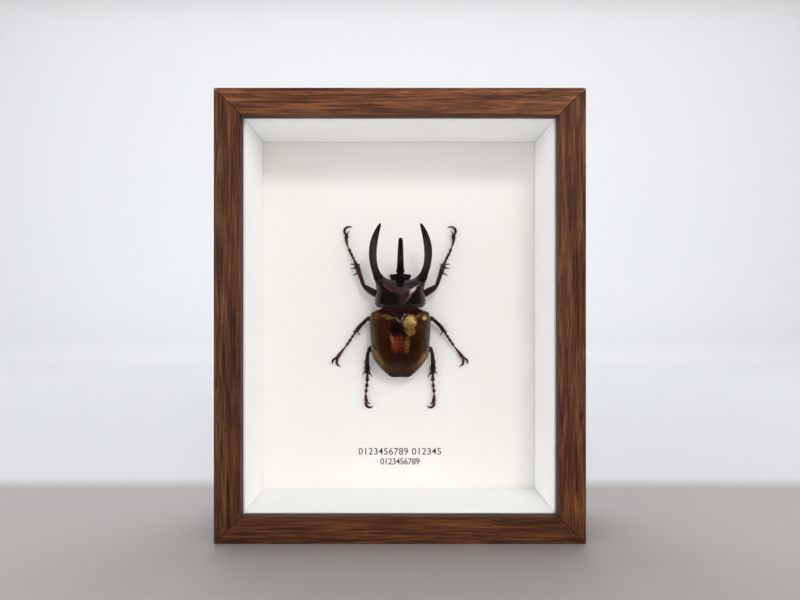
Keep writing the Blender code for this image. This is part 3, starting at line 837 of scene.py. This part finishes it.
leg_shell = horny("leg_shell", (0.003, 0.0018, 0.0016), (0.026, 0.008, 0.006), 0.2, 0.0, 0.00001)
foot_shell = horny("foot_shell", (0.008, 0.003, 0.003), (0.050, 0.010, 0.009), 0.26, 0.0, 0.00001)
LEG_GRAIN = 0.13                # the size, in millimetres, at which tubes are fused to one skin
SPINE_BOW = 0.25


def drawn_tube(route):
    """A round tube through (x, y, z, radius) points, as a mesh object."""
    bpy.ops.curve.primitive_nurbs_path_add()
    path = bpy.context.object
    spline = path.data.splines[0]
    spline.points.add(max(0, len(route) - len(spline.points)))
    while len(spline.points) > len(route):
        bpy.ops.object.mode_set(mode="EDIT")
        bpy.ops.curve.select_all(action="DESELECT")
        spline = path.data.splines[0]
        spline.points[-1].select = True
        bpy.ops.curve.delete(type="VERT")
        bpy.ops.object.mode_set(mode="OBJECT")
        spline = path.data.splines[0]
    for point, (x, y, z, radius) in zip(spline.points, route):
        point.co = (x, y, z, 1.0)
        point.radius = radius
    spline.order_u = 3
    spline.use_endpoint_u = True
    spline.resolution_u = 6
    path.data.bevel_depth = 1.0
    path.data.bevel_resolution = 5
    path.data.use_fill_caps = True
    bpy.ops.object.convert(target="MESH")
    return bpy.context.object


def leg_piece(name, routes, material, replaced):
    """Fuse several drawn tubes to one skin, and lay it on the card."""
    bpy.ops.object.select_all(action="DESELECT")
    tubes = [drawn_tube(route) for route in routes]
    for tube in tubes:
        tube.select_set(True)
    bpy.context.view_layer.objects.active = tubes[0]
    if len(tubes) > 1:
        bpy.ops.object.join()
    piece = bpy.context.object
    piece.name = name
    skin = piece.modifiers.new("skin", "REMESH")
    skin.mode = "VOXEL"
    skin.voxel_size = LEG_GRAIN
    bpy.ops.object.modifier_apply(modifier=skin.name)
    settle = piece.modifiers.new("settle", "SMOOTH")
    settle.factor = 0.5
    settle.iterations = 1
    bpy.ops.object.modifier_apply(modifier=settle.name)
    bpy.ops.object.shade_smooth()
    lay_on_card(piece, material, replaced)


def spine(root, tip, thickness):
    """The route of a pointed spine from a root to a tip, slightly bowed."""
    root, tip = Vector(root), Vector(tip)
    middle = (root + tip) / 2 + Vector((0, 0, SPINE_BOW))
    return [(*root, thickness), (*middle, thickness * 0.75), (*tip, thickness * 0.25)]


# The routes are those of the left legs; the right ones are their mirror image.
FRONT_LEG = {
    "femur": [
        [(-11.0, 7.2, 6.6, 1.8), (-13.5, 8.6, 7.0, 2.3), (-17.0, 10.3, 7.8, 2.6),
         (-20.3, 12.2, 8.4, 2.35), (-22.8, 13.8, 8.8, 1.95), (-24.4, 15.0, 9.0, 1.55),
         (-25.0, 15.6, 9.0, 0.8)],
    ],
    "tibia": [
        [(-24.6, 14.9, 9.0, 0.8), (-24.9, 15.9, 8.8, 1.4), (-25.8, 18.4, 8.2, 1.4),
         (-27.0, 22.0, 7.4, 1.5), (-28.2, 25.4, 6.6, 1.7), (-29.2, 28.2, 5.9, 1.85),
         (-30.0, 30.2, 5.4, 1.55), (-30.3, 31.2, 5.2, 0.9)],
        [(-24.8, 16.4, 9.8, 0.35), (-26.2, 20.6, 9.0, 0.45), (-28.6, 27.2, 7.5, 0.5),
         (-29.6, 29.8, 6.6, 0.3)],
        spine((-28.4, 24.6, 6.4), (-32.6, 22.4, 5.8), 0.78),
        spine((-29.4, 28.0, 5.8), (-34.2, 27.4, 5.0), 0.75),
        spine((-30.0, 30.2, 5.4), (-34.4, 30.4, 4.8), 0.68),
        spine((-28.8, 29.2, 5.8), (-27.0, 30.8, 5.0), 0.72),
    ],
    "tarsus": [
        [(-30.4, 31.0, 5.0, 0.6), (-31.0, 32.2, 4.8, 1.45), (-31.5, 33.3, 4.6, 0.3),
         (-32.1, 34.6, 4.4, 1.5), (-32.6, 35.6, 4.2, 0.3), (-33.3, 37.0, 4.0, 1.5),
         (-33.9, 38.1, 3.8, 0.3), (-34.7, 40.1, 3.5, 1.45), (-35.3, 41.4, 3.3, 0.3),
         (-36.3, 44.0, 3.0, 0.75), (-37.0, 47.2, 2.6, 1.0), (-37.0, 49.6, 2.2, 1.45),
         (-36.9, 51.0, 2.1, 1.2), (-37.3, 51.8, 2.0, 0.6)],
        [(-37.2, 50.6, 1.9, 0.6), (-38.3, 52.4, 1.8, 1.0), (-38.5, 54.2, 1.6, 0.9),
         (-37.4, 55.9, 1.5, 0.75), (-35.4, 56.8, 1.3, 0.6), (-33.0, 56.4, 1.1, 0.22)],
        [(-36.9, 50.6, 2.4, 0.4), (-36.1, 51.8, 3.2, 0.5), (-35.3, 52.8, 3.9, 0.42),
         (-34.4, 53.0, 4.4, 0.16)],
    ],
}
MIDDLE_LEG = {
    "femur": [
        [(-12.0, -8.4, 5.8, 2.0), (-15.5, -7.9, 6.4, 2.5), (-19.0, -7.2, 6.8, 2.1),
         (-21.0, -6.9, 7.0, 1.75), (-22.4, -7.0, 7.1, 1.5), (-23.0, -7.3, 7.1, 0.8)],
    ],
    "tibia": [
        [(-22.2, -7.1, 7.2, 0.8), (-23.2, -7.9, 7.1, 1.35), (-25.2, -9.9, 6.5, 1.25),
         (-27.4, -11.8, 5.9, 1.3), (-28.9, -13.9, 5.4, 1.5), (-29.9, -15.3, 5.0, 1.4),
         (-30.4, -16.0, 4.9, 0.8)],
        [(-23.8, -8.2, 8.0, 0.3), (-26.4, -10.8, 7.2, 0.4), (-28.9, -13.6, 6.4, 0.45),
         (-29.7, -14.8, 5.8, 0.3)],
        spine((-27.6, -11.4, 5.8), (-29.3, -11.9, 5.2), 0.45),
        spine((-29.8, -14.8, 5.2), (-32.7, -15.8, 4.6), 0.62),
        spine((-29.4, -15.2, 5.2), (-27.5, -18.6, 4.4), 0.68),
    ],
    "tarsus": [
        [(-30.3, -15.9, 4.8, 0.6), (-31.1, -16.9, 4.6, 1.35), (-31.7, -17.9, 4.4, 0.3),
         (-32.7, -19.3, 4.2, 1.4), (-33.3, -20.2, 4.0, 0.3), (-34.5, -22.0, 3.7, 1.4),
         (-35.1, -22.9, 3.5, 0.3), (-36.3, -24.6, 3.3, 1.35), (-36.9, -25.5, 3.1, 0.3),
         (-38.8, -27.9, 2.8, 0.7), (-41.0, -30.7, 2.4, 0.9), (-42.5, -32.7, 2.2, 1.4),
         (-43.3, -33.9, 2.1, 1.1), (-43.5, -34.4, 2.0, 0.5)],
        [(-43.0, -33.4, 2.0, 0.5), (-44.8, -34.4, 1.8, 0.85), (-46.4, -35.6, 1.5, 0.75),
         (-47.0, -37.1, 1.3, 0.55), (-46.6, -38.6, 1.1, 0.2)],
        [(-43.2, -33.6, 2.0, 0.5), (-43.6, -35.8, 1.7, 0.88), (-43.9, -37.7, 1.4, 0.8),
         (-43.0, -39.4, 1.2, 0.65), (-40.9, -39.9, 1.1, 0.24)],
    ],
}
HIND_LEG = {
    "femur": [
        [(-12.5, -25.0, 5.6, 2.2), (-16.0, -26.2, 5.8, 2.7), (-18.6, -27.2, 6.2, 2.5),
         (-20.5, -28.0, 6.5, 2.1), (-21.5, -28.7, 6.6, 1.5), (-21.9, -29.4, 6.6, 0.8)],
    ],
    "tibia": [
        [(-21.0, -28.5, 6.7, 0.8), (-21.8, -29.8, 6.6, 1.25), (-22.3, -32.0, 6.2, 1.2),
         (-22.4, -35.0, 5.7, 1.4), (-22.6, -38.8, 5.2, 1.6), (-22.5, -42.0, 4.8, 1.9),
         (-22.4, -44.4, 4.5, 1.65), (-22.4, -45.6, 4.4, 0.8)],
        [(-22.2, -30.6, 7.5, 0.3), (-22.4, -35.0, 6.8, 0.4), (-22.6, -41.2, 6.3, 0.5),
         (-22.5, -43.8, 5.8, 0.3)],
        spine((-22.9, -34.6, 5.6), (-24.9, -37.2, 5.0), 0.6),
        spine((-23.2, -38.4, 5.3), (-25.0, -41.2, 4.6), 0.5),
        spine((-21.6, -38.8, 5.3), (-20.0, -41.6, 4.6), 0.5),
        spine((-23.0, -41.4, 5.0), (-25.8, -45.4, 4.2), 0.75),
        spine((-21.8, -42.8, 5.0), (-18.9, -47.2, 4.0), 0.75),
    ],
    "tarsus": [
        [(-22.4, -45.4, 4.3, 0.7), (-22.5, -47.4, 4.1, 1.0), (-22.6, -49.4, 3.8, 1.6),
         (-22.6, -50.4, 3.7, 0.3), (-22.8, -51.8, 3.5, 0.8), (-22.9, -53.5, 3.3, 1.55),
         (-23.0, -54.4, 3.2, 0.3), (-23.2, -55.6, 3.0, 0.75), (-23.4, -57.1, 2.8, 1.45),
         (-23.4, -58.0, 2.7, 0.3), (-23.6, -60.2, 2.5, 0.85), (-23.5, -62.6, 2.2, 1.25),
         (-23.2, -64.0, 2.1, 1.3), (-23.1, -64.9, 2.0, 0.5)],
        [(-23.1, -63.8, 2.0, 0.6), (-23.7, -65.6, 1.8, 1.0), (-23.1, -67.4, 1.6, 0.9),
         (-21.6, -68.5, 1.4, 0.78), (-20.0, -68.4, 1.2, 0.52), (-18.6, -67.4, 1.1, 0.2)],
        [(-22.9, -63.8, 2.4, 0.5), (-22.0, -65.0, 3.0, 0.5), (-21.0, -65.5, 3.5, 0.4),
         (-20.2, -65.4, 3.9, 0.16)],
    ],
}
for pair, leg in (("front", FRONT_LEG), ("middle", MIDDLE_LEG), ("hind", HIND_LEG)):
    for label, side in (("left", 1), ("right", -1)):
        for part, routes in leg.items():
            mirrored = [[(side * x, y, z, radius) for x, y, z, radius in route] for route in routes]
            material = foot_shell if part == "tarsus" else leg_shell
            leg_piece(f"{pair}_{part}_{label}", mirrored, material, f"leg_{pair}_{label}_{part}")


# ----------------------------------------------------------------------
# The studio: a pale floor that sweeps up behind, darker where the frame stands. Large soft fills
# light the box from the front and both sides, and a lamp overhead lights the wall. A smaller soft
# lamp from the upper right makes the shadows, and a window is only seen in what is glossy.
# ----------------------------------------------------------------------

FLOOR_DEPTH = 1.1               # behind the frame
FLOOR_FRONT = 3.0
FLOOR_HALF_WIDTH = 3.0
CURVE_STEPS = 8
CURVE_STEP = 0.06
WALL_HEIGHT = 2.5
sweep = start_piece("studio_sweep", bpy.ops.mesh.primitive_plane_add, size=1.0)
bpy.ops.transform.resize(value=(2 * FLOOR_HALF_WIDTH, FLOOR_FRONT + FLOOR_DEPTH, 1),
                         center_override=(0, 0, 0))
bpy.ops.transform.translate(value=(0, (FLOOR_DEPTH - FLOOR_FRONT) / 2, 0))
select_vertices(sweep, lambda place: place.y > FLOOR_DEPTH - 0.01)
bpy.ops.mesh.select_mode(type="EDGE")
for turn in range(CURVE_STEPS):
    angle = math.pi / 2 * (turn + 0.5) / CURVE_STEPS
    bpy.ops.mesh.extrude_region_move(TRANSFORM_OT_translate={
        "value": (0, CURVE_STEP * math.cos(angle), CURVE_STEP * math.sin(angle))})
bpy.ops.mesh.extrude_region_move(TRANSFORM_OT_translate={"value": (0, 0, WALL_HEIGHT)})
end_piece()
studio_paint = pressed_paper("studio_paint", (0.56, 0.535, 0.515), (0.57, 0.545, 0.525), 300.0,
                             0.0001)
paint_axes = add_node(studio_paint, "ShaderNodeSeparateXYZ", {
    "Vector": object_coordinates(studio_paint)})
behind = value_ramp(studio_paint, paint_axes.outputs["Y"], cad_high.y + 0.04, cad_high.y + 0.07)
# Behind the frame the floor takes the wall's tone, and where it lies flat it is painted paler than
# the upright wall: painted light, for the light that only grazes it.
upright = value_ramp(studio_paint, paint_axes.outputs["Z"], 0.0, CURVE_STEP)
paint_over(studio_paint, behind,
           mix_colour(studio_paint, upright, (0.88, 0.895, 0.91), (0.77, 0.79, 0.81)))
dress(sweep, studio_paint)
sweep.visible_glossy = False
sweep.visible_transmission = False


def soft_lamp(name, place, rotation, size, power, colour, seen_in_gloss):
    """A flat oblong lamp. What is glossy or clear shows it only if it is seen in gloss."""
    lamp = bpy.data.objects.new(name, bpy.data.lights.new(name, "AREA"))
    lamp.data.shape = "RECTANGLE"
    lamp.data.size, lamp.data.size_y = size
    lamp.data.energy = power
    lamp.data.color = colour
    lamp.location = place
    lamp.rotation_euler = rotation
    lamp.visible_glossy = seen_in_gloss
    lamp.visible_transmission = seen_in_gloss
    bpy.context.scene.collection.objects.link(lamp)
    return lamp


# How bright the box looks goes by each lamp's share of the whole power as well as by the power,
# so the lamps are best turned up or down together, and the glow comes last.
middle = (cad_low + cad_high) / 2
for name, azimuth, elevation, distance, size, power, colour, lights, seen_in_gloss in (
    ("softbox", 14, 29, 1.30, (0.26, 0.26), 4.3, (1.0, 0.98, 0.95), True, False),
    ("window", 32, 47, 0.95, (0.42, 0.42), 2.7, (1.0, 0.98, 0.95), False, True),
    ("front_fill", 0, 4, 1.3, (3.0, 1.4), 37.0, (1.0, 0.99, 0.98), True, False),
    ("left_fill", -60, 4, 1.5, (1.3, 1.2), 18.0, (0.97, 0.985, 1.0), True, False),
    ("right_fill", 60, 4, 1.5, (1.3, 1.2), 14.4, (1.0, 0.99, 0.97), True, False),
    ("overhead", 180, 62, 1.5, (2.4, 1.4), 10.8, (0.96, 0.98, 1.0), True, True),
):
    turn, rise = math.radians(azimuth), math.radians(elevation)
    away = Vector((math.sin(turn) * math.cos(rise), -math.cos(turn) * math.cos(rise),
                   math.sin(rise)))
    lamp = soft_lamp(name, middle + away * distance, away.to_track_quat("Z", "Y").to_euler(),
                     size, power, colour, seen_in_gloss)
    lamp.visible_diffuse = lights
# The light that a pale table throws up into the box: a lamp that lies on the floor in front.
table_glow = soft_lamp("table_glow", (0.0, cad_low.y - 0.40, 0.004), (math.pi, 0, 0), (1.4, 0.6),
                       4.9, (1.0, 0.98, 0.96), False)
table_glow.visible_camera = False

world = bpy.data.worlds.new("studio_air")
world.use_nodes = True
world.node_tree.nodes["Background"].inputs["Color"].default_value = (0.93, 0.96, 1.0, 1.0)
world.node_tree.nodes["Background"].inputs["Strength"].default_value = 0.02
bpy.context.scene.world = world
bpy.context.scene.view_settings.view_transform = "Standard"

CAMERA_LENS = 26.0
CAMERA_DISTANCE = 0.3441        # from the front of the frame
CAMERA_HEIGHT = 0.1383
CAMERA_ASIDE = -0.0044
CAMERA_SHIFT = (0.0094, 0.0150)
camera = bpy.data.objects.new("camera", bpy.data.cameras.new("camera"))
camera.data.lens = CAMERA_LENS
camera.data.sensor_width = 36.0
camera.data.shift_x, camera.data.shift_y = CAMERA_SHIFT
camera.data.clip_start = 0.01
camera.location = (CAMERA_ASIDE, cad_low.y - CAMERA_DISTANCE, CAMERA_HEIGHT)
camera.rotation_euler = (math.pi / 2, 0, 0)
bpy.context.scene.collection.objects.link(camera)
bpy.context.scene.camera = camera
